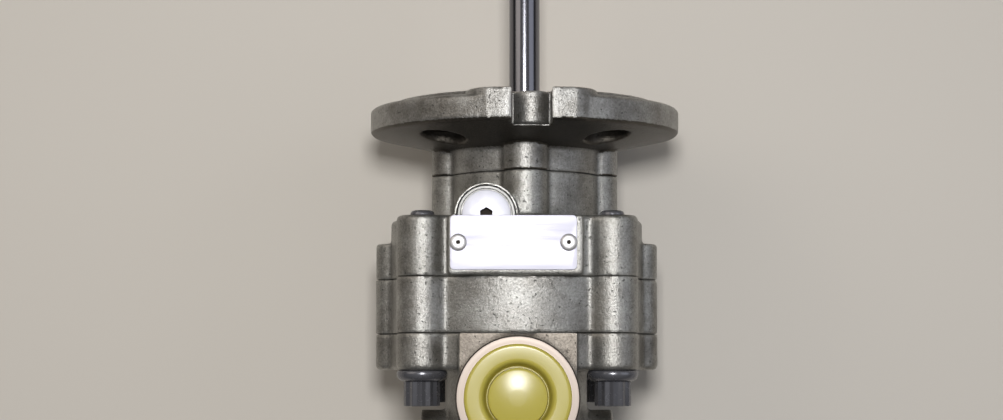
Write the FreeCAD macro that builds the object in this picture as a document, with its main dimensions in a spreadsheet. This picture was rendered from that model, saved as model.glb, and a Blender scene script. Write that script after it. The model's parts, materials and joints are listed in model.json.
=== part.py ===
# Power steering pump for a heavy vehicle: an internal gear pump with a round mounting flange, a neck with
# four ribs, a three-piece cast body held by four twelve-point screws, a flow valve and two oil ports.
# The shaft lies along Y and points to +Y, the inlet port looks up along +Z, and the origin is where the
# shaft's axis meets the machined face of the flange. "Depth" below is the distance behind that face.
import FreeCAD, Part
import math
import os
import Sketcher
from FreeCAD import Placement, Rotation, Vector

doc = FreeCAD.newDocument("steering_pump")
sheet = doc.addObject("Spreadsheet::Sheet", "Sizes")
parts = {}

DRIVING_SIZES = [
    # drive shaft
    ("shaft_diameter", 15.875, "free end of the shaft"),
    ("shaft_reach", 78.0, "free end ahead of the flange face"),
    ("journal_diameter", 17.0, "bearing and rotor seat on the shaft"),
    ("tail_diameter", 15.0, "rear journal"),
    ("shaft_bevel", 1.2, "bevel on the free end"),
    ("keyway_width", 4.76, "keyway in the free end"),
    ("keyway_length", 20.0, "length of that keyway"),
    ("keyway_depth", 2.4, "depth of that keyway"),
    # mounting flange
    ("flange_diameter", 159.0, "over the cast rim"),
    ("register_diameter", 136.0, "machined locating disc"),
    ("register_height", 3.0, "disc ahead of the rim"),
    ("rim_thickness", 13.4, "cast rim"),
    ("flange_root", 25.0, "depth where the underside meets the hub"),
    ("flange_length", 37.2, "flange face to the housing joint"),
    ("hub_radius", 38.6, "round wall of the neck"),
    ("rib_radius", 11.3, "round rib on the neck"),
    ("rib_centre", 36.7, "rib axis from the shaft"),
    ("notch_width", 19.6, "slot in the rim beside a rib"),
    ("notch_floor", 66.9, "boss in that slot, from the shaft"),
    ("notch_shift", 2.7, "upper slot beside the rib's line, towards +X"),
    ("notch_corner", 1.5, "rounding of the slot's mouth"),
    ("mount_circle", 114.3, "pitch circle of the mounting holes"),
    ("mount_hole", 11.0, "mounting hole"),
    ("seal_seat", 35.0, "shaft seal seat"),
    # three-piece body
    ("neck_length", 23.3, "housing neck"),
    ("shoulder_length", 30.3, "housing shoulder"),
    ("ring_length", 27.6, "rotor ring"),
    ("cover_length", 18.3, "flange of the port cover"),
    ("body_radius", 64.6, "round wall of the body"),
    ("eccentricity", 4.1, "body and outer rotor axis, beside the shaft"),
    ("screw_pitch", 93.8, "side of the square of body screws"),
    ("boss_radius", 12.7, "cast boss round a body screw"),
    ("lobe_centre", 63.0, "dowel lobe from the body axis"),
    ("lobe_radius", 9.4, "dowel lobe"),
    ("lobe_setback", 11.6, "lobe behind the shoulder's face"),
    ("cast_blend", 4.0, "blend in the valleys of the body"),
    ("neck_blend", 1.4, "blend in the valleys of the neck"),
    ("cast_round", 2.2, "rounded edges of the castings"),
    # gear set
    ("tooth_circle", 37.0, "centres of the outer rotor's teeth"),
    ("tooth_radius", 12.0, "round tooth of the outer rotor"),
    ("outer_rotor_diameter", 84.0, "outer rotor"),
    ("root_gap", 0.35, "outer root beyond the inner tip"),
    ("mesh_gap", 0.06, "clearance between the rotors' teeth"),
    ("side_gap", 0.05, "clearance at each side of the rotors"),
    ("running_gap", 0.05, "radial clearance of a turning piece"),
    ("seat_gap", 0.02, "radial clearance of a fitted piece"),
    ("bolt_gap", 0.5, "radial clearance round a screw"),
    ("rotor_key_width", 5.0, "key of the inner rotor"),
    # bearing
    ("bearing_outer", 40.0, "bearing outside diameter"),
    ("bearing_width", 12.0, "bearing width"),
    ("ball_diameter", 6.7, "bearing ball"),
    ("cage_wall", 1.6, "wall of the ball cage"),
    ("cage_edge", 1.0, "cage beside a ball"),
    ("collar_diameter", 21.0, "shaft collar ahead of the bearing"),
    ("clip_thickness", 1.5, "spring clips"),
    # bushes
    ("bush_wall", 2.0, "wall of a plain bush"),
    ("bush_length", 16.0, "length of a plain bush"),
    # screws, dowels and seals
    ("screw_diameter", 12.0, "body screw thread"),
    ("screw_stub", 2.5, "thread beyond the shoulder"),
    ("screw_flange", 25.0, "flange of the body screw"),
    ("screw_head", 18.0, "twelve-point head across its points"),
    ("screw_flange_height", 5.4, "height of that flange"),
    ("screw_head_height", 12.0, "height of the twelve-point head"),
    ("flange_screw", 8.0, "socket screw thread"),
    ("flange_screw_head", 13.0, "socket screw head"),
    ("flange_screw_grip", 16.0, "thread in the housing rib"),
    ("dowel_diameter", 8.0, "dowel pin"),
    ("dowel_length", 44.0, "dowel pin"),
    ("ring_seal_wall", 3.5, "between the outer rotor and the body seals"),
    ("flange_seal_wall", 2.7, "between the bearing and the flange seal"),
    ("seal_section", 2.6, "width of the face seals"),
    ("seal_depth", 2.0, "depth of their grooves"),
    # ports
    ("port_setback", 31.3, "port axis behind the cover's joint"),
    ("inlet_proud", 10.4, "inlet face beyond the body's wall"),
    ("inlet_boss", 59.0, "machined face of the inlet"),
    ("inlet_bore", 40.4, "inlet port bore"),
    ("outlet_proud", 11.1, "outlet face beyond the body's wall"),
    ("outlet_boss", 48.0, "machined face of the outlet"),
    ("outlet_bore", 27.0, "outlet port bore"),
    ("port_block_width", 57.0, "block under the inlet"),
    ("port_floor", 9.0, "wall between the two port bores, each side"),
    ("gallery_radius", 13.0, "cross gallery boss"),
    ("gallery_setback", 51.6, "gallery axis behind the cover's joint"),
    ("gallery_reach", 49.0, "gallery end from the body axis"),
    ("gallery_plug", 16.0, "screw plug in the gallery end"),
    # transport caps
    ("inlet_cap", 51.7, "rim of the inlet's transport cap"),
    ("outlet_cap", 42.0, "rim of the outlet's transport cap"),
    ("cap_rim", 3.0, "thickness of a cap's rim"),
    ("cap_depth", 11.0, "cap inside the port"),
    ("cap_wall", 1.6, "wall of a cap"),
    ("cap_moat", 4.1, "groove round the raised middle of a cap"),
    # flow valve
    ("valve_offset", 19.3, "valve axis beside the shaft, towards -X"),
    ("valve_setback", 0.5, "valve axis behind the shoulder's face"),
    ("valve_height", 65.5, "valve boss from the shaft"),
    ("valve_boss", 31.0, "valve boss diameter"),
    ("valve_thread", 24.0, "thread of the valve plug"),
    ("valve_plug_head", 28.0, "collar of the valve plug"),
    ("valve_plug_collar", 1.5, "height of that collar"),
    ("valve_plug_disc", 23.6, "raised disc of the plug"),
    ("valve_plug_disc_height", 1.1, "that disc above the collar"),
    ("valve_plug_socket", 6.0, "hexagon socket across its flats"),
    ("valve_plug_length", 15.0, "plug in the housing"),
    ("washer_thickness", 1.0, "sealing washer under the plug"),
    ("valve_bore", 15.0, "spool bore"),
    ("valve_floor", 22.0, "bottom of the spool bore under the shaft axis"),
    ("spool_length", 37.0, "flow valve spool"),
    ("spool_nose", 8.0, "stop on the foot of the spool"),
    ("spool_waist", 10.0, "waist between the spool's lands"),
    ("spool_travel", 8.0, "opening travel of the spool"),
    ("relief_travel", 1.5, "lift of the relief ball"),
    ("relief_ball", 6.0, "relief ball"),
    ("relief_hole", 4.0, "hole under the relief ball"),
    ("relief_side_gap", 0.4, "round the relief ball"),
    # name plate
    ("pad_width", 65.4, "pad under the plate"),
    ("pad_shift", 0.9, "pad beside the body axis, towards -X"),
    ("pad_gap", 0.7, "pad face above the valve boss"),
    ("plate_width", 61.6, "bare name plate"),
    ("plate_shift", 1.1, "plate beside the pad's middle, towards -X"),
    ("plate_length", 26.6, "bare name plate along the shaft"),
    ("plate_thickness", 0.8, "bare name plate"),
    ("rivet_spread", 53.6, "between the two drive rivets"),
    ("rivet_head", 8.4, "rivet head"),
]

for row, (alias, value, note) in enumerate(DRIVING_SIZES, start=1):
    sheet.set("A%d" % row, str(value))
    sheet.setAlias("A%d" % row, alias)
    sheet.set("B%d" % row, note)
doc.recompute()


def size(alias):
    """A driving size, in millimetres."""
    return float(sheet.get(alias))


# Depths of the joints behind the flange face, and the axes that several pieces share.
JOINT_NECK = size("flange_length")
SHOULDER = JOINT_NECK + size("neck_length")
JOINT_RING = SHOULDER + size("shoulder_length")
JOINT_COVER = JOINT_RING + size("ring_length")
COVER_REAR = JOINT_COVER + size("cover_length")
PORT_DEPTH = JOINT_COVER + size("port_setback")
GALLERY_DEPTH = JOINT_COVER + size("gallery_setback")
VALVE_DEPTH = SHOULDER + size("valve_setback")
INLET_FACE = size("body_radius") + size("inlet_proud")
OUTLET_FACE = size("body_radius") + size("outlet_proud")
BODY_X = -size("eccentricity")
VALVE_X = -size("valve_offset")
PAD_X = BODY_X - size("pad_shift")
PAD_TOP = size("valve_height") + size("pad_gap")
PLATE_X = PAD_X - size("plate_shift")
INNER_TEETH = 6
OUTER_TEETH = INNER_TEETH + 1
QUARTERS = [(math.cos(a), math.sin(a)) for a in (0, math.pi / 2, math.pi, 3 * math.pi / 2)]
SCREWS = [
    (BODY_X + i * size("screw_pitch") / 2, j * size("screw_pitch") / 2) for i in (-1, 1) for j in (-1, 1)
]
DOWELS = [(BODY_X + i * size("lobe_centre"), 0.0) for i in (-1, 1)]
RIBS = [(size("rib_centre") * c, size("rib_centre") * s) for c, s in QUARTERS]

# The castings are built with x to the side, y up and z as depth, and this placement turns depth to -Y.
FROM_DEPTH = Placement(Vector(0, 0, 0), Rotation(Vector(1, 0, 0), 90))
# A turned piece on the shaft axis is drawn as radius and depth, and this one turns depth to -Y.
TURNED_ON_SHAFT = Rotation(Vector(1, 0, 0), 180)
# A turned piece on a port or valve axis is drawn as radius and height above the shaft axis.
TURNED_UPRIGHT = Rotation(Vector(1, 0, 0), 90)


def keep(label, item):
    """Names a finished sub-part, whose label is also its file name."""
    item.Label = label
    parts[label] = item
    return item


def from_shape(label, shape, placement=FROM_DEPTH):
    """A sub-part whose blended or formula-made shape has no matching feature."""
    item = doc.addObject("Part::Feature", label)
    item.Shape = shape
    item.Placement = placement
    return keep(label, item)


def turned(label, corners, rotation, base=(0, 0, 0)):
    """A body revolved from (radius, station) corners, each bound to the sheet by an expression."""
    body = doc.addObject("PartDesign::Body", label)
    sketch = body.newObject("Sketcher::SketchObject", label + "_profile")
    plane = [p for p in body.Origin.OriginFeatures if p.Role == "XY_Plane"][0]
    sketch.AttachmentSupport = [(plane, "")]
    sketch.MapMode = "FlatFace"
    count = len(corners)
    ring = [
        Vector(10 + math.cos(2 * math.pi * i / count), 10 + math.sin(2 * math.pi * i / count), 0)
        for i in range(count)
    ]
    for i in range(count):
        sketch.addGeometry(Part.LineSegment(ring[i], ring[(i + 1) % count]), False)
    for i in range(count):
        sketch.addConstraint(Sketcher.Constraint("Coincident", i, 2, (i + 1) % count, 1))
    for i, (radius, station) in enumerate(corners):
        for kind, axis, words, start in (
            ("DistanceX", -2, radius, ring[i].x),
            ("DistanceY", -1, station, ring[i].y),
        ):
            if words == "0":
                sketch.addConstraint(Sketcher.Constraint("PointOnObject", i, 1, axis))
            else:
                index = sketch.addConstraint(Sketcher.Constraint(kind, -1, 1, i, 1, start))
                sketch.setExpression("Constraints[%d]" % index, words)
    turn = body.newObject("PartDesign::Revolution", label + "_turning")
    turn.Profile = sketch
    turn.ReferenceAxis = (sketch, ["V_Axis"])
    turn.Angle = 360
    body.Placement = Placement(Vector(*base), rotation)
    return keep(label, body)


def cylinder(radius, length, x=0.0, y=0.0, depth=0.0):
    """A plain cylinder along the depth direction."""
    return Part.makeCylinder(radius, length, Vector(x, y, depth))


def upright(radius, low, high, x, depth):
    """A cylinder along the upward direction, between two heights."""
    return Part.makeCylinder(radius, high - low, Vector(x, low, depth), Vector(0, 1, 0))


def block(width, low, high, x, depth, length):
    """A block centred on x, between two heights, starting at a depth."""
    return Part.makeBox(width, high - low, length, Vector(x - width / 2, low, depth))


def blended(discs, depth, length, blend):
    """A prism over the union of round discs, with its inner corners rounded by a blend radius."""
    union = cylinder(discs[0][2], 1.0, discs[0][0], discs[0][1])
    for x, y, radius in discs[1:]:
        union = union.fuse(cylinder(radius, 1.0, x, y))
    union = union.removeSplitter()
    base = [f for f in union.Faces if abs(f.CenterOfMass.z) < 1e-6 and f.normalAt(0, 0).z < -0.5][0]
    wire = Part.Wire(Part.sortEdges(base.OuterWire.Edges)[0])
    closed = wire.makeOffset2D(blend).makeOffset2D(-blend)
    face = Part.Face(closed)
    face.translate(Vector(0, 0, depth))
    return face.extrude(Vector(0, 0, length))


def rounded(shape, radius, wanted):
    """The shape with the wanted edges filleted."""
    edges = [e for e in shape.Edges if wanted(e)]
    return shape.makeFillet(radius, edges) if edges else shape


def at_depth(edge, depth, reach):
    """True for an edge that lies at one depth and passes further out than reach from the body axis."""
    box = edge.BoundBox
    level = abs(box.ZMin - depth) < 1e-4 and abs(box.ZMax - depth) < 1e-4
    far = max(math.hypot(v.X - BODY_X, v.Y) for v in edge.Vertexes) > reach
    return level and far


def body_outline(depth, length, with_lobes):
    """The common outline of the three body castings: round wall, four screw bosses, two dowel lobes."""
    discs = [(BODY_X, 0.0, size("body_radius"))]
    discs += [(x, y, size("boss_radius")) for x, y in SCREWS]
    if with_lobes:
        discs += [(x, y, size("lobe_radius")) for x, y in DOWELS]
    return blended(discs, depth, length, size("cast_blend"))


def neck_outline(depth, length):
    """The round neck with its four ribs."""
    discs = [(0.0, 0.0, size("hub_radius"))] + [(x, y, size("rib_radius")) for x, y in RIBS]
    return blended(discs, depth, length, size("neck_blend"))


def kidney(depth, length, side):
    """A curved oil port beside the rotors, above (+1) or below (-1) the line of centres."""
    inner = size("tooth_circle") - size("eccentricity") - size("tooth_radius") + 1.0
    outer = size("tooth_circle") + size("eccentricity") - size("tooth_radius") + 3.0
    sweep = 124.0
    start = 90.0 * side - sweep / 2
    ring = Part.makeCylinder(outer, length, Vector(BODY_X, 0, depth), Vector(0, 0, 1), sweep)
    ring = ring.cut(cylinder(inner, length, BODY_X, 0, depth))
    ring.rotate(Vector(BODY_X, 0, 0), Vector(0, 0, 1), start)
    return ring


def seal_groove(depth):
    """An annular groove for a body seal, round the outer rotor."""
    inner = size("outer_rotor_diameter") / 2 + size("ring_seal_wall")
    outer = cylinder(inner + size("seal_section"), size("seal_depth"), BODY_X, 0, depth)
    return outer.cut(cylinder(inner, size("seal_depth"), BODY_X, 0, depth))


# Mounting flange: an aluminium casting with a machined face, a sloping underside and a short ribbed hub.
# Slots in the rim leave a boss at each of the upper and lower ribs.
def mounting_flange():
    face = size("register_height")
    rear = face + size("rim_thickness")
    rim = size("flange_diameter") / 2
    register = size("register_diameter") / 2
    bevel = 0.6
    hub = size("hub_radius")
    corners = [
        (0, 0), (register - bevel, 0), (register, bevel), (register, face), (rim - 1.5, face),
        (rim, face + 1.5), (rim, rear - 1.5), (rim - 1.5, rear), (hub, size("flange_root")),
        (0, size("flange_root")),
    ]
    outline = Part.makePolygon([Vector(r, 0, d) for r, d in corners] + [Vector(0, 0, 0)])
    casting = Part.Face(outline).revolve(Vector(0, 0, 0), Vector(0, 0, 1), 360)
    half = size("notch_width") / 2
    corner = size("notch_corner")
    for side in (-1, 1):
        slot = block(2 * half, size("notch_floor") - half, rim + 1, 0, -1, rear + 2)
        for way in (-1, 1):
            mouth = block(2 * corner, rim - 2 * corner, rim + 1, way * half, -1, rear + 2)
            mouth = mouth.cut(cylinder(corner, rear + 2, way * (half + corner), rim - 2 * corner, -1))
            slot = slot.fuse(mouth)
        if side < 0:
            slot.rotate(Vector(0, 0, 0), Vector(0, 0, 1), 180)
        shift = size("notch_shift") if side > 0 else 0.0
        slot.translate(Vector(shift, 0, 0))
        casting = casting.cut(slot)
        boss = cylinder(half - 0.6, rear - 1.0, shift, side * (size("notch_floor") - half), bevel)
        casting = casting.fuse(boss)
    hub_solid = neck_outline(size("flange_root") - 5.0, size("flange_length") - size("flange_root") + 5.0)
    casting = casting.fuse(hub_solid)
    seal_depth = 12.0
    casting = casting.cut(cylinder(size("seal_seat") / 2, seal_depth, 0, 0, 0))
    casting = casting.cut(cylinder(size("collar_diameter") / 2 + 1.5, size("flange_length"), 0, 0, 0))
    head = size("flange_screw_head") / 2 + 0.5
    for x, y in RIBS:
        casting = casting.cut(cylinder(size("flange_screw") / 2 + 0.4, size("flange_length"), x, y, 0))
        casting = casting.cut(cylinder(head, size("flange_screw") + 1.0, x, y, 0))
    for i in range(4):
        angle = math.radians(45 + 90 * i)
        x, y = (size("mount_circle") / 2 * f(angle) for f in (math.cos, math.sin))
        casting = casting.cut(cylinder(size("mount_hole") / 2, size("flange_length"), x, y, 0))
        spot = cylinder(size("mount_hole"), size("flange_root"), x, y, rear - 0.2)
        casting = casting.cut(spot.cut(cylinder(size("hub_radius") + 2.5, 60, 0, 0, 0)))
    inner = size("bearing_outer") / 2 + size("flange_seal_wall")
    floor = size("flange_length") - size("seal_depth")
    groove = cylinder(inner + size("seal_section"), size("seal_depth"), 0, 0, floor)
    groove = groove.cut(cylinder(inner, size("seal_depth"), 0, 0, floor))
    return from_shape("mounting_flange", casting.cut(groove).removeSplitter())


# Drive housing: neck, shoulder, four screw bosses, valve boss and the pad for the name plate.
def drive_housing():
    shoulder = size("shoulder_length")
    neck = neck_outline(JOINT_NECK, size("neck_length") + 6.0)
    body = body_outline(SHOULDER, shoulder, False)
    body = rounded(body, size("cast_round"), lambda e: at_depth(e, SHOULDER, 0))
    setback = size("lobe_setback")
    for x, y in DOWELS:
        lobe = cylinder(size("lobe_radius"), shoulder - setback, x, y, SHOULDER + setback)
        web_x = x - math.copysign(size("lobe_radius"), x - BODY_X)
        web = block(2 * size("lobe_radius"), -size("lobe_radius"), size("lobe_radius"), web_x,
                    SHOULDER + setback, shoulder - setback)
        body = body.fuse(lobe).fuse(web)
    boss = upright(size("valve_boss") / 2, 20.0, size("valve_height"), VALVE_X, VALVE_DEPTH)
    pad = block(size("pad_width"), 30.0, PAD_TOP, PAD_X, SHOULDER + 0.8, shoulder - 1.4)
    pad = rounded(pad, 2.0, lambda e: abs(e.BoundBox.YLength - (PAD_TOP - 30.0)) < 1e-3)
    casting = neck.fuse(body).fuse(boss).fuse(pad).removeSplitter()
    # bearing seat, shaft passage and bush seat
    seat_end = BEARING_FRONT + size("bearing_width")
    casting = casting.cut(cylinder(size("bearing_outer") / 2 + size("seat_gap"), seat_end - JOINT_NECK, 0, 0,
                                   JOINT_NECK))
    clip_groove = cylinder(size("bearing_outer") / 2 + 1.2, size("clip_thickness") + 0.1, 0, 0,
                           BEARING_FRONT - size("clip_thickness") - 0.1)
    casting = casting.cut(clip_groove)
    casting = casting.cut(cylinder(size("journal_diameter") / 2 + 2.6, 5.0, 0, 0, seat_end))
    casting = casting.cut(cylinder(size("journal_diameter") / 2 + 0.7, JOINT_RING, 0, 0, JOINT_NECK))
    casting = casting.cut(cylinder(bush_outer("journal_diameter"), size("bush_length") + 0.2, 0, 0,
                                   JOINT_RING - size("bush_length") - 0.2))
    # screw, dowel and valve bores
    for x, y in SCREWS:
        thread = size("screw_diameter") / 2 + size("seat_gap")
        casting = casting.cut(cylinder(thread, shoulder, x, y, SHOULDER))
    for x, y in RIBS:
        casting = casting.cut(cylinder(size("flange_screw") / 2 + size("seat_gap"),
                                       size("flange_screw_grip") + 1.5, x, y, JOINT_NECK))
    dowel_half = size("dowel_length") - size("ring_length")
    for x, y in DOWELS:
        casting = casting.cut(cylinder(size("dowel_diameter") / 2 + size("seat_gap"), dowel_half / 2 + 0.5,
                                       x, y, JOINT_RING - dowel_half / 2 - 0.5))
    casting = casting.cut(upright(size("valve_bore") / 2, -size("valve_floor"), size("valve_height") + 1,
                                  VALVE_X, VALVE_DEPTH))
    casting = casting.cut(upright(size("valve_thread") / 2 + size("seat_gap"), PLUG_FOOT,
                                  size("valve_height") + 1, VALVE_X, VALVE_DEPTH))
    casting = casting.cut(upright(size("valve_plug_head") / 2 + 0.3, PLUG_SEAT - SEAL_THICKNESS,
                                  PAD_TOP + 1, VALVE_X, VALVE_DEPTH))
    # oil ports to the rotors, and drillings between them and the valve bore
    for side in (-1, 1):
        casting = casting.cut(kidney(JOINT_RING - 6.0, 6.0, side))
        drilling = cylinder(2.5, JOINT_RING - VALVE_DEPTH, VALVE_X, side * 17.0, VALVE_DEPTH)
        casting = casting.cut(drilling)
    for i in (-1, 1):
        casting = casting.cut(upright(RIVET_SHANK + size("seat_gap"), PAD_TOP - 6.0,
                                      PAD_TOP + 1, PLATE_X + i * size("rivet_spread") / 2,
                                      PLATE_DEPTH))
    return from_shape("drive_housing", casting)


# Rotor ring: the middle casting, bored off the shaft's axis for the outer rotor.
def rotor_ring():
    casting = body_outline(JOINT_RING, size("ring_length"), True)
    bore = size("outer_rotor_diameter") / 2 + size("running_gap")
    casting = casting.cut(cylinder(bore, size("ring_length"), BODY_X, 0, JOINT_RING))
    for x, y in SCREWS:
        hole = size("screw_diameter") / 2 + size("bolt_gap")
        casting = casting.cut(cylinder(hole, size("ring_length"), x, y, JOINT_RING))
    for x, y in DOWELS:
        casting = casting.cut(cylinder(size("dowel_diameter") / 2 + size("seat_gap"), size("ring_length"),
                                       x, y, JOINT_RING))
    casting = casting.cut(seal_groove(JOINT_RING))
    casting = casting.cut(seal_groove(JOINT_COVER - size("seal_depth")))
    return from_shape("rotor_ring", casting)


# Port cover: rear casting with the inlet above, the outlet below and a cross gallery behind.
def port_cover():
    flange = body_outline(JOINT_COVER, size("cover_length"), True)
    flange = rounded(flange, size("cast_round"), lambda e: at_depth(e, COVER_REAR, 0))
    inlet = upright(size("inlet_boss") / 2, -10.0, INLET_FACE, BODY_X, PORT_DEPTH)
    outlet = upright(size("outlet_boss") / 2, -OUTLET_FACE, 10.0, BODY_X, PORT_DEPTH)
    bridge = block(size("port_block_width"), -12.0, INLET_FACE - 1.2, BODY_X, JOINT_COVER,
                   PORT_DEPTH - JOINT_COVER)
    bridge = rounded(bridge, 3.0, lambda e: abs(e.BoundBox.YLength - INLET_FACE - 10.8) < 1e-3
                     and e.BoundBox.ZMin > JOINT_COVER + 1)
    foot = block(size("outlet_boss") - 4.0, 12.0 - OUTLET_FACE, 10.0, BODY_X, JOINT_COVER + 1.0,
                 PORT_DEPTH - JOINT_COVER - 1.0)
    reach = size("gallery_reach")
    gallery = Part.makeCylinder(size("gallery_radius"), 2 * reach, Vector(BODY_X - reach, 0, GALLERY_DEPTH),
                                Vector(1, 0, 0))
    core = cylinder(36.0, GALLERY_DEPTH - JOINT_COVER - 6.0, BODY_X, 0, JOINT_COVER)
    casting = flange.fuse(inlet).fuse(outlet).fuse(bridge).fuse(foot).fuse(gallery).fuse(core)
    casting = casting.removeSplitter()
    # port bores, oil ports to the rotors and the rear bush seat
    casting = casting.cut(upright(size("inlet_bore") / 2, size("port_floor") + 6, INLET_FACE + 1,
                                  BODY_X, PORT_DEPTH))
    casting = casting.cut(upright(size("outlet_bore") / 2, -OUTLET_FACE - 1,
                                  -size("port_floor") - 10, BODY_X, PORT_DEPTH))
    for side in (-1, 1):
        casting = casting.cut(kidney(JOINT_COVER, size("port_setback") - 4.0, side))
    casting = casting.cut(cylinder(bush_outer("tail_diameter"), size("bush_length") + 1.5, 0, 0, JOINT_COVER))
    for x, y in SCREWS:
        hole = size("screw_diameter") / 2 + size("bolt_gap")
        casting = casting.cut(cylinder(hole, size("cover_length") + 40, x, y, JOINT_COVER))
        casting = casting.cut(cylinder(size("screw_flange") / 2 + 0.6, 60, x, y, COVER_REAR))
    dowel_half = size("dowel_length") - size("ring_length")
    for x, y in DOWELS:
        casting = casting.cut(cylinder(size("dowel_diameter") / 2 + size("seat_gap"), dowel_half / 2 + 0.5,
                                       x, y, JOINT_COVER))
    for way in (-1, 1):
        start = Vector(BODY_X + way * reach, 0, GALLERY_DEPTH)
        casting = casting.cut(Part.makeCylinder(size("gallery_plug") / 2 + size("seat_gap"), 12.0, start,
                                                Vector(-way, 0, 0)))
    return from_shape("port_cover", casting)


def bush_outer(journal):
    """Outer radius of the plain bush round a journal."""
    return size(journal) / 2 + size("running_gap") + size("bush_wall")


# Depths and heights that the valve, the bearing and the plate share with the castings.
BEARING_FRONT = JOINT_NECK + 2.6
SEAL_THICKNESS = size("washer_thickness")
PLUG_SEAT = size("valve_height") - size("valve_plug_collar") - size("valve_plug_disc_height")
PLUG_FOOT = PLUG_SEAT - SEAL_THICKNESS - size("valve_plug_length")
SPOOL_FOOT = size("running_gap") - size("valve_floor")
SPOOL_TOP = SPOOL_FOOT + size("spool_length")
SEAT_TOP = "8"
PLATE_DEPTH = SHOULDER + 1.0 + size("plate_length") / 2
RIVET_SHANK = 1.9

mounting_flange()
drive_housing()
rotor_ring()
port_cover()


# Drive shaft: turned steel with a collar, a bearing seat, a keyed rotor seat and a rear journal.
def drive_shaft():
    collar_front = "Sizes.shaft_reach + %g" % (BEARING_FRONT - 3.0)
    collar_rear = "Sizes.shaft_reach + %g" % BEARING_FRONT
    tail_start = "Sizes.shaft_reach + %g" % (JOINT_COVER - 0.6)
    tail_end = "Sizes.shaft_reach + %g" % (JOINT_COVER + size("bush_length"))
    free, seat, tail = "Sizes.shaft_diameter / 2", "Sizes.journal_diameter / 2", "Sizes.tail_diameter / 2"
    body = turned("drive_shaft", [
        ("0", "0"), (free + " - Sizes.shaft_bevel", "0"), (free, "Sizes.shaft_bevel"),
        (free, "Sizes.shaft_reach + 2"), (seat, "Sizes.shaft_reach + 2.6"), (seat, collar_front),
        ("Sizes.collar_diameter / 2", collar_front), ("Sizes.collar_diameter / 2", collar_rear),
        (seat, collar_rear), (seat, tail_start), (tail, tail_start), (tail, tail_end + " - 1"),
        (tail + " - 1", tail_end), ("0", tail_end),
    ], TURNED_ON_SHAFT)
    body.Placement = Placement(Vector(0, size("shaft_reach"), 0), TURNED_ON_SHAFT)
    doc.recompute()
    # keyway in the free end, seat for the rotor key, and the groove for the clip behind the bearing
    shaft = body.Shape.copy()
    radius = size("shaft_diameter") / 2
    half = size("keyway_width") / 2
    low = radius - size("keyway_depth")
    run = size("keyway_length") - half
    end = size("shaft_reach")
    slot = Part.makeBox(2 * half, run + 1, 10, Vector(-half, end - run, low))
    slot = slot.fuse(Part.makeCylinder(half, 10, Vector(0, end - run, low)))
    shaft = shaft.cut(slot)
    seat_low = size("journal_diameter") / 2 - ROTOR_KEY_HEIGHT / 2
    shaft = shaft.cut(key_box(size("rotor_key_width") + 0.04, seat_low - 0.02, 12.0))
    clip_depth = BEARING_FRONT + size("bearing_width")
    groove = Part.makeCylinder(11, size("clip_thickness"), Vector(0, -clip_depth, 0), Vector(0, -1, 0))
    inner = Part.makeCylinder(CLIP_BORE, size("clip_thickness"), Vector(0, -clip_depth, 0), Vector(0, -1, 0))
    shaft = shaft.cut(groove.cut(inner))
    body.Label = "drive_shaft_turning"
    return from_shape("drive_shaft", shaft, Placement())


def key_box(width, low, high):
    """The space of the inner rotor's key, with rounded ends, in the assembled frame."""
    length = size("ring_length") - 6.0
    start = -JOINT_RING - size("ring_length") + 3.0
    body = Part.makeBox(width, length - width, high - low, Vector(-width / 2, start + width / 2, low))
    for y in (start + width / 2, start + length - width / 2):
        body = body.fuse(Part.makeCylinder(width / 2, high - low, Vector(0, y, low)))
    return body.removeSplitter()


CLIP_BORE = size("journal_diameter") / 2 - 0.7
ROTOR_KEY_HEIGHT = 5.0
drive_shaft()
from_shape("rotor_key", key_box(size("rotor_key_width"), size("journal_diameter") / 2 - ROTOR_KEY_HEIGHT / 2,
                                size("journal_diameter") / 2 + ROTOR_KEY_HEIGHT / 2), Placement())


# Rotors: the inner one follows an offset trochoid, and the outer one has round teeth on a circle.
def inner_rotor():
    radius = size("tooth_circle")
    shift = size("eccentricity")
    offset = size("tooth_radius") + size("mesh_gap")
    steps = 20 * INNER_TEETH
    outline = []
    for i in range(steps):
        u = 2 * math.pi * i / steps
        x = radius * math.cos(u) + shift * math.cos(OUTER_TEETH * u)
        y = radius * math.sin(u) + shift * math.sin(OUTER_TEETH * u)
        run_x = -radius * math.sin(u) - OUTER_TEETH * shift * math.sin(OUTER_TEETH * u)
        run_y = radius * math.cos(u) + OUTER_TEETH * shift * math.cos(OUTER_TEETH * u)
        speed = math.hypot(run_x, run_y)
        outline.append(Vector(-(x - offset * run_y / speed), -(y + offset * run_x / speed), 0))
    curve = Part.BSplineCurve()
    curve.interpolate(Points=outline, PeriodicFlag=True)
    face = Part.Face(Part.Wire(curve.toShape()))
    face.translate(Vector(0, 0, JOINT_RING + size("side_gap")))
    rotor = face.extrude(Vector(0, 0, size("ring_length") - 2 * size("side_gap")))
    rotor = rotor.cut(cylinder(size("journal_diameter") / 2 + size("seat_gap"), 200, 0, 0, 0))
    half = size("rotor_key_width") / 2 + 0.02
    top = size("journal_diameter") / 2 + ROTOR_KEY_HEIGHT / 2 + 0.3
    return from_shape("inner_rotor", rotor.cut(block(2 * half, 0, top, 0, 0, 200)))


def outer_rotor():
    depth = JOINT_RING + size("side_gap")
    length = size("ring_length") - 2 * size("side_gap")
    tip = size("tooth_circle") + size("eccentricity") - size("tooth_radius")
    root = tip + size("eccentricity") + size("root_gap")
    rim = cylinder(size("outer_rotor_diameter") / 2, length, BODY_X, 0, depth)
    hollow = cylinder(root, length, BODY_X, 0, depth)
    for i in range(OUTER_TEETH):
        angle = math.pi + 2 * math.pi * i / OUTER_TEETH
        x = BODY_X + size("tooth_circle") * math.cos(angle)
        y = size("tooth_circle") * math.sin(angle)
        hollow = hollow.cut(cylinder(size("tooth_radius"), length, x, y, depth))
    return from_shape("outer_rotor", rim.cut(hollow))


inner_rotor()
outer_rotor()


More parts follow.
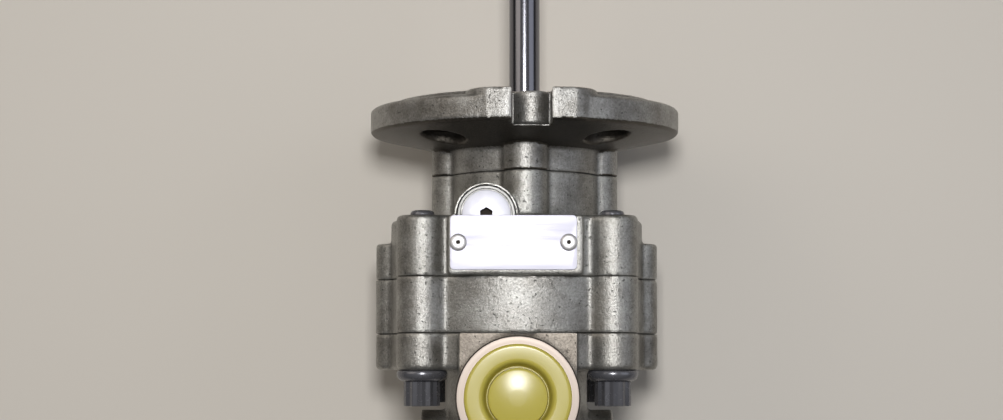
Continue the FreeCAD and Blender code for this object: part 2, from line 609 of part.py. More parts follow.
# Ball bearing: two grooved rings, eight balls and their cage.
BALL_CIRCLE = (size("bearing_outer") + size("journal_diameter")) / 4
BALLS = 8
TRACK = size("ball_diameter") / 2 + 0.06
BEARING_MID = BEARING_FRONT + size("bearing_width") / 2


def ring_of(inner, outer, depth, length):
    """A plain ring on the shaft axis."""
    return cylinder(outer, length, 0, 0, depth).cut(cylinder(inner, length, 0, 0, depth))


def bearing():
    width = size("bearing_width")
    track = Part.makeTorus(BALL_CIRCLE, TRACK, Vector(0, 0, BEARING_MID))
    land = size("ball_diameter") * 0.36
    outer = ring_of(BALL_CIRCLE + land, size("bearing_outer") / 2, BEARING_FRONT, width).cut(track)
    inner = ring_of(size("journal_diameter") / 2 + size("seat_gap"), BALL_CIRCLE - land, BEARING_FRONT,
                    width).cut(track)
    from_shape("bearing_outer_ring", outer)
    from_shape("bearing_inner_ring", inner)
    half = size("ball_diameter") / 2 + size("cage_edge")
    wall = size("cage_wall") / 2
    cage = ring_of(BALL_CIRCLE - wall, BALL_CIRCLE + wall, BEARING_MID - half, 2 * half)
    balls = []
    for i in range(BALLS):
        angle = 2 * math.pi * (i + 0.5) / BALLS
        out = Vector(math.cos(angle), math.sin(angle), 0)
        centre = out * BALL_CIRCLE + Vector(0, 0, BEARING_MID)
        balls.append(Part.makeSphere(size("ball_diameter") / 2, centre))
        pocket = Part.makeCylinder(TRACK, 10, out * (BALL_CIRCLE - 5) + Vector(0, 0, BEARING_MID), out)
        cage = cage.cut(pocket)
    from_shape("bearing_cage", cage)
    from_shape("bearing_balls", Part.makeCompound(balls))


bearing()


# Spring clips: one in the housing ahead of the bearing, one on the shaft behind it.
def clip(label, inner, outer, depth, gap):
    ring = ring_of(inner, outer, depth, size("clip_thickness"))
    opening = block(gap, 0, outer + 5, 0, depth - 1, size("clip_thickness") + 2)
    return from_shape(label, ring.cut(opening))


clip("housing_clip", size("bearing_outer") / 2 - 2.2, size("bearing_outer") / 2 + 1.1,
     BEARING_FRONT - size("clip_thickness"), 8.0)
clip("shaft_clip", CLIP_BORE, size("journal_diameter") / 2 + 1.9, BEARING_FRONT + size("bearing_width"), 4.0)

# Shaft seal: a rubber-covered ring with a lip that runs on the shaft.
turned("shaft_seal", [
    ("Sizes.journal_diameter / 2 + 3", "3"), ("Sizes.seal_seat / 2 - Sizes.seat_gap", "3"),
    ("Sizes.seal_seat / 2 - Sizes.seat_gap", "11.9"), ("Sizes.seal_seat / 2 - 2", "11.9"),
    ("Sizes.seal_seat / 2 - 2", "5"), ("Sizes.journal_diameter / 2 + 2.4", "5"),
    ("Sizes.journal_diameter / 2 + 1.6", "10"), ("Sizes.journal_diameter / 2 + Sizes.running_gap", "8.6"),
    ("Sizes.journal_diameter / 2 + 1.4", "4"),
], TURNED_ON_SHAFT)

# Plain bushes at both sides of the rotors.
def plain_bush(label, journal, start):
    inner = "Sizes.%s / 2 + Sizes.running_gap" % journal
    outer = inner + " + Sizes.bush_wall - Sizes.seat_gap"
    return turned(label, [
        (inner, "0"), (outer, "0"), (outer, "Sizes.bush_length"), (inner, "Sizes.bush_length"),
    ], TURNED_ON_SHAFT, (0, -start, 0))


plain_bush("front_bush", "journal_diameter", JOINT_RING - size("bush_length") - 0.1)
plain_bush("rear_bush", "tail_diameter", JOINT_COVER + 0.1)


# Rings of rubber in face grooves between the castings.
def face_seal(label, wall_words, base):
    inner = wall_words + " + Sizes.seat_gap"
    outer = wall_words + " + Sizes.seal_section - Sizes.seat_gap"
    return turned(label, [
        (inner, "0"), (outer, "0"), (outer, "Sizes.seal_depth"), (inner, "Sizes.seal_depth"),
    ], TURNED_ON_SHAFT, base)


face_seal("flange_seal", "Sizes.bearing_outer / 2 + Sizes.flange_seal_wall",
          (0, size("seal_depth") - JOINT_NECK, 0))
body_seal = "Sizes.outer_rotor_diameter / 2 + Sizes.ring_seal_wall"
face_seal("front_body_seal", body_seal, (BODY_X, -JOINT_RING, 0))
face_seal("rear_body_seal", body_seal, (BODY_X, size("seal_depth") - JOINT_COVER, 0))

# Dowel pins that line the three castings up.
from_shape("dowel_pins", Part.makeCompound([
    rounded(cylinder(size("dowel_diameter") / 2, size("dowel_length"), x, y,
                     JOINT_RING + (size("ring_length") - size("dowel_length")) / 2), 0.6,
            lambda e: e.Length > 2 * size("dowel_diameter") and len(e.Vertexes) == 1)
    for x, y in DOWELS
]))


# Body screws: twelve-point heads on round flanges, through all three castings to the shoulder's face.
def twelve_point(radius, height, x, y, depth):
    """A prism over two crossed hexagons."""
    head = None
    for turn in (0, 30):
        corners = [
            Vector(x + radius * math.cos(math.radians(60 * i + turn)),
                   y + radius * math.sin(math.radians(60 * i + turn)), depth)
            for i in range(7)
        ]
        prism = Part.Face(Part.makePolygon(corners)).extrude(Vector(0, 0, height))
        head = prism if head is None else head.fuse(prism)
    return head.removeSplitter()


def body_screws():
    group = []
    for x, y in SCREWS:
        shank = cylinder(size("screw_diameter") / 2, COVER_REAR - SHOULDER + size("screw_stub"), x, y,
                         SHOULDER - size("screw_stub"))
        base = cylinder(size("screw_flange") / 2, 2.4, x, y, COVER_REAR)
        slope = Part.makeCone(size("screw_flange") / 2, size("screw_head") / 2 + 1.2,
                              size("screw_flange_height") - 2.4, Vector(x, y, COVER_REAR + 2.4))
        top = COVER_REAR + size("screw_flange_height")
        head = twelve_point(size("screw_head") / 2, size("screw_head_height"), x, y, top)
        cap = Part.makeCone(size("screw_head") / 2 + size("screw_head_height"), size("screw_head") / 2 - 1.6,
                            size("screw_head_height") + 1.6, Vector(x, y, top))
        group.append(shank.fuse(base).fuse(slope).fuse(head.common(cap)).removeSplitter())
    return from_shape("body_screws", Part.makeCompound(group))


body_screws()


# Socket screws from the flange face into the neck's ribs.
def flange_screws():
    group = []
    head_depth = 1.0
    height = size("flange_screw")
    for x, y in RIBS:
        head = cylinder(size("flange_screw_head") / 2, height, x, y, head_depth)
        shank = cylinder(size("flange_screw") / 2,
                         JOINT_NECK + size("flange_screw_grip") - head_depth - height, x, y,
                         head_depth + height)
        corners = [
            Vector(x + 3.5 * math.cos(math.radians(60 * i)), y + 3.5 * math.sin(math.radians(60 * i)),
                   head_depth)
            for i in range(7)
        ]
        socket = Part.Face(Part.makePolygon(corners)).extrude(Vector(0, 0, height / 2))
        group.append(head.fuse(shank).removeSplitter().cut(socket))
    return from_shape("flange_screws", Part.makeCompound(group))


flange_screws()


# Screw plugs in the ends of the cross gallery, with hexagon sockets.
def gallery_plugs():
    group = []
    radius = size("gallery_plug") / 2
    for way in (-1, 1):
        start = Vector(BODY_X + way * (size("gallery_reach") - 0.8), 0, GALLERY_DEPTH)
        plug = Part.makeCylinder(radius, 10.0, start, Vector(-way, 0, 0))
        turns = [math.radians(60 * i) for i in range(7)]
        corners = [Vector(start.x, 4.6 * math.cos(t), GALLERY_DEPTH + 4.6 * math.sin(t)) for t in turns]
        group.append(plug.cut(Part.Face(Part.makePolygon(corners)).extrude(Vector(-way * 5.0, 0, 0))))
    return from_shape("gallery_plugs", Part.makeCompound(group))


gallery_plugs()


# Transport caps: moulded plugs with a wide rim, a moat and a raised middle, pushed into the ports.
def port_cap(label, rim, bore, height, rotation):
    rim_edge = "Sizes.%s / 2" % rim
    skirt = "Sizes.%s / 2 - 0.15" % bore
    moat = skirt + " - Sizes.cap_wall"
    button = moat + " - Sizes.cap_moat"
    return turned(label, [
        ("0", "-1.4"), ("0", "2.2"), (button + " - 5", "1.9"), (button + " - 1.5", "1.1"),
        (button, "-0.2"), (button + " + 0.4", "-4.5"), (moat + " - 0.6", "-4.5"), (moat, "-2.5"),
        (moat + " + 0.2", "Sizes.cap_rim - 0.8"), (moat + " + 1.2", "Sizes.cap_rim"),
        (rim_edge + " - 1.2", "Sizes.cap_rim"), (rim_edge + " - 0.4", "Sizes.cap_rim - 0.5"),
        (rim_edge, "Sizes.cap_rim - 1.4"), (rim_edge, "0"), (skirt, "0"), (skirt, "1 - Sizes.cap_depth"),
        (skirt + " - 0.8", "-Sizes.cap_depth"), (moat, "-Sizes.cap_depth"), (moat, "-6"),
        (button + " - 1", "-6"), (button + " - 1.4", "-1.4"),
    ], rotation, (BODY_X, -PORT_DEPTH, height))


port_cap("inlet_cap", "inlet_cap", "inlet_bore", INLET_FACE, TURNED_UPRIGHT)
port_cap("outlet_cap", "outlet_cap", "outlet_bore", -OUTLET_FACE, Rotation(Vector(1, 0, 0), -90))


# Valve plug: a zinc-plated screw plug with a collar and a hexagon socket, on a sealing washer.
def valve_plug():
    collar = upright(size("valve_plug_head") / 2, PLUG_SEAT, PLUG_SEAT + size("valve_plug_collar"), VALVE_X,
                     VALVE_DEPTH)
    disc = upright(size("valve_plug_disc") / 2, PLUG_SEAT, size("valve_height"), VALVE_X, VALVE_DEPTH)
    collar = collar.fuse(disc).removeSplitter()
    collar = rounded(collar, 0.5, lambda e: abs(e.BoundBox.YMin - size("valve_height")) < 1e-4
                     and abs(e.BoundBox.YMax - size("valve_height")) < 1e-4)
    stem = upright(size("valve_thread") / 2, PLUG_FOOT + 2, PLUG_SEAT, VALVE_X, VALVE_DEPTH)
    plug = collar.fuse(stem).removeSplitter()
    plug = plug.cut(upright(8.5, PLUG_FOOT, PLUG_SEAT - 4.0, VALVE_X, VALVE_DEPTH))
    reach = size("valve_plug_socket") / math.sqrt(3)
    corners = [
        Vector(VALVE_X + reach * math.cos(math.radians(60 * i)), size("valve_height"),
               VALVE_DEPTH + reach * math.sin(math.radians(60 * i)))
        for i in range(7)
    ]
    socket = Part.Face(Part.makePolygon(corners)).extrude(Vector(0, -5.0, 0))
    return from_shape("valve_plug", plug.cut(socket))


valve_plug()
turned("valve_plug_seal", [
    ("Sizes.valve_thread / 2 + 0.3", "0"), ("Sizes.valve_plug_head / 2", "0"),
    ("Sizes.valve_plug_head / 2", "Sizes.washer_thickness"),
    ("Sizes.valve_thread / 2 + 0.3", "Sizes.washer_thickness"),
], TURNED_UPRIGHT, (VALVE_X, -VALVE_DEPTH, PLUG_SEAT - SEAL_THICKNESS))

# Flow valve spool: two lands and a waist, bored from above for the relief valve.
land = "Sizes.valve_bore / 2 - Sizes.running_gap"
pocket = "Sizes.relief_ball / 2 + Sizes.relief_side_gap"
turned("flow_spool", [
    ("Sizes.relief_hole / 2", "0"), ("Sizes.spool_nose / 2", "0"), ("Sizes.spool_nose / 2", "3"),
    (land, "3"), (land, "12"), ("Sizes.spool_waist / 2", "12"), ("Sizes.spool_waist / 2", "21"), (land, "21"),
    (land, "Sizes.spool_length"), (pocket, "Sizes.spool_length"), (pocket, SEAT_TOP),
    ("Sizes.relief_hole / 2", "%s - (%s - Sizes.relief_hole / 2)" % (SEAT_TOP, pocket)),
], TURNED_UPRIGHT, (VALVE_X, -VALVE_DEPTH, SPOOL_FOOT))


def coil(label, radius, wire, low, high, turns):
    """A compression spring round the valve's axis."""
    rise = high - low - wire
    path = Part.makeHelix(rise / turns, rise, radius)
    section = Part.Wire(Part.makeCircle(wire / 2, Vector(radius, 0, 0), Vector(0, 1, 0)))
    spring = Part.Wire(path.Edges).makePipeShell([section], True, True)
    return from_shape(label, spring, Placement(Vector(VALVE_X, -VALVE_DEPTH, low + wire / 2), Rotation()))


# Relief valve inside the spool: a ball on its seat, a spring and a screwed retainer.
BALL_HEIGHT = SPOOL_FOOT + float(SEAT_TOP) - size("relief_ball") / 2 - size("relief_side_gap")
BALL_HEIGHT += (size("relief_ball") / 2 + size("running_gap")) * math.sqrt(2)
ball_place = Vector(VALVE_X, -VALVE_DEPTH, BALL_HEIGHT)
from_shape("relief_ball", Part.makeSphere(size("relief_ball") / 2, ball_place), Placement())
RETAINER = 5.0
coil("relief_spring", 2.2, 0.8, BALL_HEIGHT + size("relief_ball") / 2 + 0.02, SPOOL_TOP - RETAINER - 0.02, 5)
turned("relief_retainer", [
    ("1.4", "0"), ("Sizes.relief_ball / 2 + 0.38", "0"), ("Sizes.relief_ball / 2 + 0.38", str(RETAINER)),
    ("1.4", str(RETAINER)),
], TURNED_UPRIGHT, (VALVE_X, -VALVE_DEPTH, SPOOL_TOP - RETAINER))
coil("flow_spring", 6.0, 1.8, SPOOL_TOP + 0.02, PLUG_SEAT - 4.02, 6)


# Bare name plate and its two drive rivets.
def name_plate():
    plate = block(size("plate_width"), PAD_TOP, PAD_TOP + size("plate_thickness"), PLATE_X, SHOULDER + 1.0,
                  size("plate_length"))
    plate = rounded(plate, 2.2, lambda e: abs(e.Length - size("plate_thickness")) < 1e-4)
    top = PAD_TOP + size("plate_thickness")
    rivets = []
    for way in (-1, 1):
        x = PLATE_X + way * size("rivet_spread") / 2
        plate = plate.cut(upright(RIVET_SHANK + 0.2, PAD_TOP - 1, top + 1, x, PLATE_DEPTH))
        radius = size("rivet_head") / 2
        bow = (radius ** 2 + 1.6 ** 2) / 3.2
        ball = Part.makeSphere(bow, Vector(x, top + 1.6 - bow, PLATE_DEPTH))
        head = ball.common(upright(radius, top, top + 2.0, x, PLATE_DEPTH))
        head = head.cut(upright(0.9, top + 0.8, top + 3, x, PLATE_DEPTH))
        rivets.append(head.fuse(upright(RIVET_SHANK, top - 6.0, top, x, PLATE_DEPTH)).removeSplitter())
    from_shape("name_plate", plate)
    from_shape("plate_rivets", Part.makeCompound(rivets))


name_plate()

doc.recompute()
faults = [o.Label for o in doc.Objects if "Invalid" in o.State or "Error" in o.State]
for label, item in parts.items():
    if item.Shape.isNull() or not item.Shape.isValid() or not item.Shape.Solids:
        faults.append(label)
if faults:
    raise RuntimeError("these pieces failed: " + ", ".join(faults))
os.makedirs("parts", exist_ok=True)
for label, item in parts.items():
    item.Shape.exportStep(os.path.join("parts", label + ".step"))
print("%d sub-parts written" % len(parts))
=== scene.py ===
import json
import math
import bpy
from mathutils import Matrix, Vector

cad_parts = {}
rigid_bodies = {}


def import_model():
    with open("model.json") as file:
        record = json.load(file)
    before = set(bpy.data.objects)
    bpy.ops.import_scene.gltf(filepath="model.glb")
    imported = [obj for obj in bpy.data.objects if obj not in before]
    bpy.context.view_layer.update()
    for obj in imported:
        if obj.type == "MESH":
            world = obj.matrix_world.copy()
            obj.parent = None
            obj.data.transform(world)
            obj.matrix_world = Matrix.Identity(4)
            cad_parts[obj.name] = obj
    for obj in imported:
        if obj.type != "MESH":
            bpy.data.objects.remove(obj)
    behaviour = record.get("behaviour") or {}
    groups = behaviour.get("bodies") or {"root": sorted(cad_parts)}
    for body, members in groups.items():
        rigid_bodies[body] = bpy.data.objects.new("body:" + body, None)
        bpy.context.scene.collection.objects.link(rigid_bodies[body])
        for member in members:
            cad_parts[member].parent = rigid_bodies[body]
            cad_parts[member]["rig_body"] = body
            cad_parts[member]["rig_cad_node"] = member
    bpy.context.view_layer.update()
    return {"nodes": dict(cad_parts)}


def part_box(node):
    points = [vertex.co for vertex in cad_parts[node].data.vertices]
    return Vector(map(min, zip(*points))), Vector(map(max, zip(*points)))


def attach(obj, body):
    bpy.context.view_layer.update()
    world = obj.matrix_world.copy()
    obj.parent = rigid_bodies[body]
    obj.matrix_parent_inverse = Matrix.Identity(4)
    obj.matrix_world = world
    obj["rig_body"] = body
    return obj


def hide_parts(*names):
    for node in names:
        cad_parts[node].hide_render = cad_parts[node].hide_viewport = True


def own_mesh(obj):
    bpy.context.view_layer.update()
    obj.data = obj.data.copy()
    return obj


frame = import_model()

# The pump lies on the rim of its flange and on the cap of its lower port, with its shaft pointing to +Y
# and its inlet looking up. The camera looks down on it from about a metre, a little behind the body.
MM = 0.001
camera_place = (-0.0119, -0.1318, 1.065)
camera_tilt = math.atan2(150, 2060)
picture_width, lens_distance = 1003, 2065.5  # both in the picture's pixels
camera_data = bpy.data.cameras.new("camera")
camera_data.sensor_width = 36.0
camera_data.lens = camera_data.sensor_width * lens_distance / picture_width
camera_data.clip_start = 0.05
camera = bpy.data.objects.new("camera", camera_data)
camera.location = camera_place
camera.rotation_euler = (camera_tilt, 0, 0)
bpy.context.scene.collection.objects.link(camera)
bpy.context.scene.camera = camera


# Floor: a pale matt painted studio floor at the height of the flange's rim and of the lower cap, on which
# the pump lies. It gives the metal its pale side light.
def linear(hex_colour):
    """A hex colour as the linear numbers that a shader takes."""
    parts = [int(hex_colour[i:i + 2], 16) / 255 for i in (1, 3, 5)]
    return [c / 12.92 if c <= 0.04045 else ((c + 0.055) / 1.055) ** 2.4 for c in parts] + [1.0]


def add(tree, kind, values=None, links=None, **settings):
    """Adds a shader node with its settings, its plain values and its links."""
    made = tree.nodes.new(kind)
    for name, value in settings.items():
        setattr(made, name, value)
    for socket, value in (values or {}).items():
        made.inputs[socket].default_value = value
    for socket, source in (links or {}).items():
        tree.links.new(source, made.inputs[socket])
    return made


def new_material(name):
    """An empty material and its node tree."""
    material = bpy.data.materials.new(name)
    material.use_nodes = True
    material.node_tree.nodes.clear()
    return material, material.node_tree


def finish_material(tree, shader):
    """Links a shader to the material's output."""
    add(tree, "ShaderNodeOutputMaterial", links={"Surface": shader.outputs[0]})


def dress(piece, *materials):
    """Gives an object these materials in place of what it had."""
    piece.data.materials.clear()
    for material in materials:
        piece.data.materials.append(material)


floor_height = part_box("outlet_cap")[0].z
bpy.ops.object.select_all(action="DESELECT")
bpy.ops.mesh.primitive_plane_add(size=6.0, location=(0, 0, floor_height))
floor = bpy.context.object
floor.name = "studio_floor"
floor_material, tree = new_material("pale_floor_paint")
floor_paint = add(tree, "ShaderNodeBsdfPrincipled",
                  {"Base Color": linear("#CFC9C0"), "Roughness": 0.75})
finish_material(tree, floor_paint)
dress(floor, floor_material)


# Light: one lamp close above the camera is what the plate and the plug throw back, and two wide ones
# fill, one a little warm and one a little cold. The sky is dim at the horizon, which gives round metal
# its dark sides.
def soft_lamp(name, place, aim, width, power, colour):
    """A square area lamp that points at a place on the pump."""
    data = bpy.data.lights.new(name, "AREA")
    data.shape = "SQUARE"
    data.size = width
    data.energy = power
    data.color = linear(colour)[:3]
    lamp = bpy.data.objects.new(name, data)
    lamp.location = place
    dx, dy, dz = (a - p for a, p in zip(aim, place))
    lamp.rotation_euler = (math.atan2(math.hypot(dx, dy), -dz), 0, math.atan2(dy, dx) - math.pi / 2)
    bpy.context.scene.collection.objects.link(lamp)


body_middle = (0, -0.08, 0)
soft_lamp("front_lamp", (0.0, 0.057, 1.12), body_middle, 0.16, 8.4, "#FFFFFF")
soft_lamp("left_lamp", (-1.0, 0.5, 0.9), body_middle, 0.9, 3.5, "#FFF4E6")
soft_lamp("right_lamp", (1.1, 0.1, 0.8), body_middle, 0.9, 2.5, "#EEF3FF")
world = bpy.data.worlds.new("studio")
bpy.context.scene.world = world
world.use_nodes = True
tree = world.node_tree
tree.nodes.clear()
direction = add(tree, "ShaderNodeTexCoord").outputs["Generated"]
upness = add(tree, "ShaderNodeSeparateXYZ", links={0: direction}).outputs["Z"]
level = add(tree, "ShaderNodeMapRange",
            {"From Min": 0.0, "From Max": 0.8, "To Min": 0.04, "To Max": 0.28}, {"Value": upness})
sky = add(tree, "ShaderNodeBackground", {"Color": linear("#D6D6D6")}, {"Strength": level.outputs[0]})
add(tree, "ShaderNodeOutputWorld", links={"Surface": sky.outputs[0]})
bpy.context.scene.view_settings.view_transform = "Standard"


# Drive housing: neck, shoulder, four screw bosses and the valve's boss in one casting of aluminium. The
# mould leaves a dull grainy skin with small pits. Hollows are painted darker as shade, and edges are
# pale where they rub. The grain is drawn a little coarse so that it shows.
def cast_aluminium(name, pale, dull, grain_mm=1.1, roughness=0.39):
    """Poured metal: a dull grainy skin with pits, painted shade in the hollows and pale where edges rub.
    """
    stain_mm, pit_mm = 16.0, 1.7
    material, tree = new_material(name)
    place = add(tree, "ShaderNodeTexCoord").outputs["Object"]
    stain = add(tree, "ShaderNodeTexNoise", {"Scale": 1 / (stain_mm * MM), "Detail": 6.0,
                                            "Roughness": 0.7}, {"Vector": place})
    grain = add(tree, "ShaderNodeTexNoise", {"Scale": 1 / (grain_mm * MM), "Detail": 4.0,
                                            "Roughness": 0.7}, {"Vector": place})
    pits = add(tree, "ShaderNodeTexNoise", {"Scale": 1 / (pit_mm * MM), "Detail": 3.0,
                                           "Roughness": 0.6}, {"Vector": place})
    spread = add(tree, "ShaderNodeMapRange", {"From Min": 0.35, "From Max": 0.65},
                 {"Value": stain.outputs["Fac"]})
    tone = add(tree, "ShaderNodeMix", {6: linear(dull), 7: linear(pale)}, {0: spread.outputs[0]},
               data_type="RGBA")
    speckle = add(tree, "ShaderNodeMapRange",
                  {"From Min": 0.3, "From Max": 0.7, "To Min": 0.7, "To Max": 1.25},
                  {"Value": grain.outputs["Fac"]})
    toned = add(tree, "ShaderNodeVectorMath", links={0: tone.outputs[2], 1: speckle.outputs[0]},
                operation="MULTIPLY")
    hole = add(tree, "ShaderNodeMapRange",
               {"From Min": 0.3, "From Max": 0.38, "To Min": 0.35, "To Max": 1.0},
               {"Value": pits.outputs["Fac"]})
    pitted = add(tree, "ShaderNodeVectorMath", links={0: toned.outputs[0], 1: hole.outputs[0]},
                 operation="MULTIPLY")
    # Painted shade: hollows come out darker, and sharp edges paler where they rub, by how curved the mesh
    # is.
    curve = add(tree, "ShaderNodeNewGeometry")
    hollow_shade_and_edge_wear = add(tree, "ShaderNodeMapRange",
               {"From Min": 0.44, "From Max": 0.56, "To Min": 0.5, "To Max": 1.35},
               {"Value": curve.outputs["Pointiness"]})
    shaded_and_worn = add(tree, "ShaderNodeVectorMath", links={0: pitted.outputs[0], 1: hollow_shade_and_edge_wear.outputs[0]},
               operation="MULTIPLY")
    relief = add(tree, "ShaderNodeMath", {1: 0.6}, {0: hole.outputs[0]}, operation="MULTIPLY")
    skin = add(tree, "ShaderNodeMath", links={0: relief.outputs[0], 1: grain.outputs["Fac"]},
               operation="ADD")
    bump = add(tree, "ShaderNodeBump", {"Strength": 0.65, "Distance": 0.35 * MM},
               {"Height": skin.outputs[0]})
    matt = add(tree, "ShaderNodeMapRange", {"To Min": roughness - 0.08, "To Max": roughness + 0.14},
               {"Value": stain.outputs["Fac"]})
    shader = add(tree, "ShaderNodeBsdfPrincipled", {"Metallic": 0.9},
                 {"Base Color": shaded_and_worn.outputs[0], "Roughness": matt.outputs[0],
                  "Normal": bump.outputs[0]})
    finish_material(tree, shader)
    return material


def apply_modifier(piece, kind, **settings):
    """Adds one modifier with its settings and applies it."""
    made = piece.modifiers.new("step", kind)
    for name, value in settings.items():
        setattr(made, name, value)
    bpy.context.view_layer.objects.active = piece
    bpy.ops.object.modifier_apply(modifier="step")


def finish_piece(piece, name, slot, node, *materials, body="housing"):
    """Names a modelled piece, shades it smooth, dresses it, hides the CAD node it stands for and hangs it
    on its body.
    """
    piece.name = name
    bpy.ops.object.select_all(action="DESELECT")
    piece.select_set(True)
    bpy.context.view_layer.objects.active = piece
    bpy.ops.object.shade_smooth_by_angle(angle=math.radians(32))
    dress(piece, *materials)
    if node:
        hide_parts(node)
    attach(piece, body)
    return piece


def soften_casting(node, name, slot, materials, extras=(), voxel=0.9 * MM, passes=4):
    """A copy of a casting with the soft edges that a mould gives, standing for that node."""
    source = frame["nodes"][node]
    bpy.ops.object.select_all(action="DESELECT")
    source.select_set(True)
    bpy.context.view_layer.objects.active = source
    bpy.ops.object.duplicate()
    casting = bpy.context.object
    casting.parent = None
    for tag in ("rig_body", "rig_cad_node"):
        del casting[tag]
    bpy.ops.object.mode_set(mode="EDIT")
    bpy.ops.mesh.select_all(action="SELECT")
    bpy.ops.mesh.remove_doubles(threshold=0.001 * MM)
    bpy.ops.object.mode_set(mode="OBJECT")
    if extras:
        for extra in extras:
            extra.select_set(True)
        bpy.ops.object.join()
    apply_modifier(casting, "REMESH", mode="VOXEL", voxel_size=voxel)
    apply_modifier(casting, "SMOOTH", factor=0.5, iterations=passes)
    finish_piece(casting, name, slot, node, *materials)
    bpy.ops.object.shade_smooth()
    return casting


housing_metal = cast_aluminium("cast_housing_metal", "#ABAAA6", "#85837E")
soften_casting("drive_housing", "housing_casting", "cast_housing", (housing_metal,))


# Bushes: bronze-faced strip, rolled and bored to a satin yellow brown. One is pressed into the housing
# and one into the port cover, at both sides of the rotors.
def worked_metal(name, colour, roughness, metallic=1.0, stretch=(1.0, 40.0, 1.0), mark_mm=12.0):
    """Turned, ground or plated metal, with faint marks that run across the way it was worked."""
    material, tree = new_material(name)
    place = add(tree, "ShaderNodeTexCoord").outputs["Object"]
    drawn = add(tree, "ShaderNodeMapping", {"Scale": stretch}, {"Vector": place})
    marks = add(tree, "ShaderNodeTexNoise", {"Scale": 1 / (mark_mm * MM), "Detail": 4.0},
                {"Vector": drawn.outputs[0]})
    matt = add(tree, "ShaderNodeMapRange", {"To Min": roughness * 0.75, "To Max": roughness * 1.3},
               {"Value": marks.outputs["Fac"]})
    bump = add(tree, "ShaderNodeBump", {"Strength": 0.12, "Distance": 0.03 * MM},
               {"Height": marks.outputs["Fac"]})
    shader = add(tree, "ShaderNodeBsdfPrincipled", {"Base Color": linear(colour), "Metallic": metallic},
                 {"Roughness": matt.outputs[0], "Normal": bump.outputs[0]})
    finish_material(tree, shader)
    return material


def smooth_node(node, degrees=35):
    """Shades a CAD node smooth where its faces meet at less than this angle."""
    bpy.ops.object.select_all(action="DESELECT")
    piece = frame["nodes"][node]
    piece.select_set(True)
    bpy.context.view_layer.objects.active = piece
    bpy.ops.object.shade_smooth_by_angle(angle=math.radians(degrees))
    return piece


for node in ("front_bush", "rear_bush"):
    dress(smooth_node(node), worked_metal("bush_bronze_" + node, "#B0834A", 0.35))


# Ball bearing: two ground steel rings and a row of balls, polished bright, in a moulded nylon cage, which
# is black and matt. It is pressed onto the shaft and pushed into the housing's neck.
def moulded(name, colour, roughness, peel_mm, depth=0.3, soft=0.0):
    """Rubber or plastic from a mould: a smooth skin with a faint orange peel."""
    material, tree = new_material(name)
    place = add(tree, "ShaderNodeTexCoord").outputs["Object"]
    peel = add(tree, "ShaderNodeTexNoise", {"Scale": 1 / (peel_mm * MM), "Detail": 2.0}, {"Vector": place})
    bump = add(tree, "ShaderNodeBump", {"Strength": depth, "Distance": 0.1 * MM},
               {"Height": peel.outputs["Fac"]})
    values = {
        "Base Color": linear(colour), "Roughness": roughness, "Subsurface Weight": soft,
        "Subsurface Radius": (3 * MM, 2.5 * MM, 1 * MM), "Subsurface Scale": 1.0,
    }
    shader = add(tree, "ShaderNodeBsdfPrincipled", values, {"Normal": bump.outputs[0]})
    finish_material(tree, shader)
    return material


for node in ("bearing_outer_ring", "bearing_inner_ring", "bearing_balls"):
    dress(smooth_node(node), worked_metal("bearing_steel_" + node, "#CFCFD0", 0.14))
dress(smooth_node("bearing_cage"), moulded("cage_nylon", "#1E1E1E", 0.5, 1.0))

# Drive shaft: hardened steel, turned and then ground, which draws sharp light and dark stripes along it.
# It runs in the bearing and in the two bushes.
dress(smooth_node("drive_shaft"), worked_metal("ground_shaft_steel", "#74747A", 0.18))


# Key: a short bar of ground steel, grey with a soft shine. It lies in the shaft's slot, so that the inner
# rotor turns with the shaft.
def plain_steel(node):
    """Plain ground steel for a CAD node."""
    dress(smooth_node(node), worked_metal("ground_steel_" + node, "#A9A8A6", 0.25))


plain_steel("rotor_key")

# Clips: stamped spring steel with a phosphate skin, dark grey and dull. One is sprung into the housing's
# groove and one onto the shaft's, and they hold the bearing.
spring_steel = worked_metal("spring_steel", "#5C5B5C", 0.4)
for node in ("housing_clip", "shaft_clip"):
    dress(smooth_node(node), spring_steel)


# Seals of the flange: moulded rubber, black and matt with a faint orange peel. The lip seal is pressed
# into the flange round the shaft, and the ring lies in a groove between flange and neck.
def seal_rubber(node):
    """Black moulded rubber for a CAD node."""
    dress(smooth_node(node), moulded("seal_rubber_" + node, "#161616", 0.6, 1.2))


seal_rubber("shaft_seal")
seal_rubber("flange_seal")


# Mounting flange: a cast disc with a slot at its upper and its lower rib, and lands beside each slot. Its
# face and the edge of its register are turned, which leaves fine pale rings. Its rim stays as cast, and
# so does its sloping back, whose darker metal is painted shade, as are the pockets of its screw holes.
def machined_aluminium(name, centre, axis, colour, metallic, ring_mm=0.5):
    """The same metal cut by a tool: pale, with rings round the cutter's axis."""
    material, tree = new_material(name)
    place = add(tree, "ShaderNodeTexCoord").outputs["Object"]
    centred = add(tree, "ShaderNodeMapping", {"Location": [-c for c in centre]}, {"Vector": place})
    rings = add(tree, "ShaderNodeTexWave",
                {"Scale": 1 / (ring_mm * MM * 20), "Distortion": 0.6, "Detail": 2.0},
                {"Vector": centred.outputs[0]}, wave_type="RINGS", rings_direction=axis)
    bump = add(tree, "ShaderNodeBump", {"Strength": 0.2, "Distance": 0.03 * MM},
               {"Height": rings.outputs["Fac"]})
    matt = add(tree, "ShaderNodeMapRange", {"To Min": 0.5, "To Max": 0.6}, {"Value": rings.outputs["Fac"]})
    shader = add(tree, "ShaderNodeBsdfPrincipled", {"Base Color": linear(colour), "Metallic": metallic},
                 {"Roughness": matt.outputs[0], "Normal": bump.outputs[0]})
    finish_material(tree, shader)
    return material


def place_piece(piece, place, turn=(0, 0, 0)):
    """Moves a piece's mesh to its place and leaves the object at the origin."""
    bpy.ops.object.select_all(action="DESELECT")
    piece.select_set(True)
    bpy.context.view_layer.objects.active = piece
    piece.location = place
    piece.rotation_euler = turn
    bpy.ops.object.transform_apply(location=True, rotation=True, scale=True)


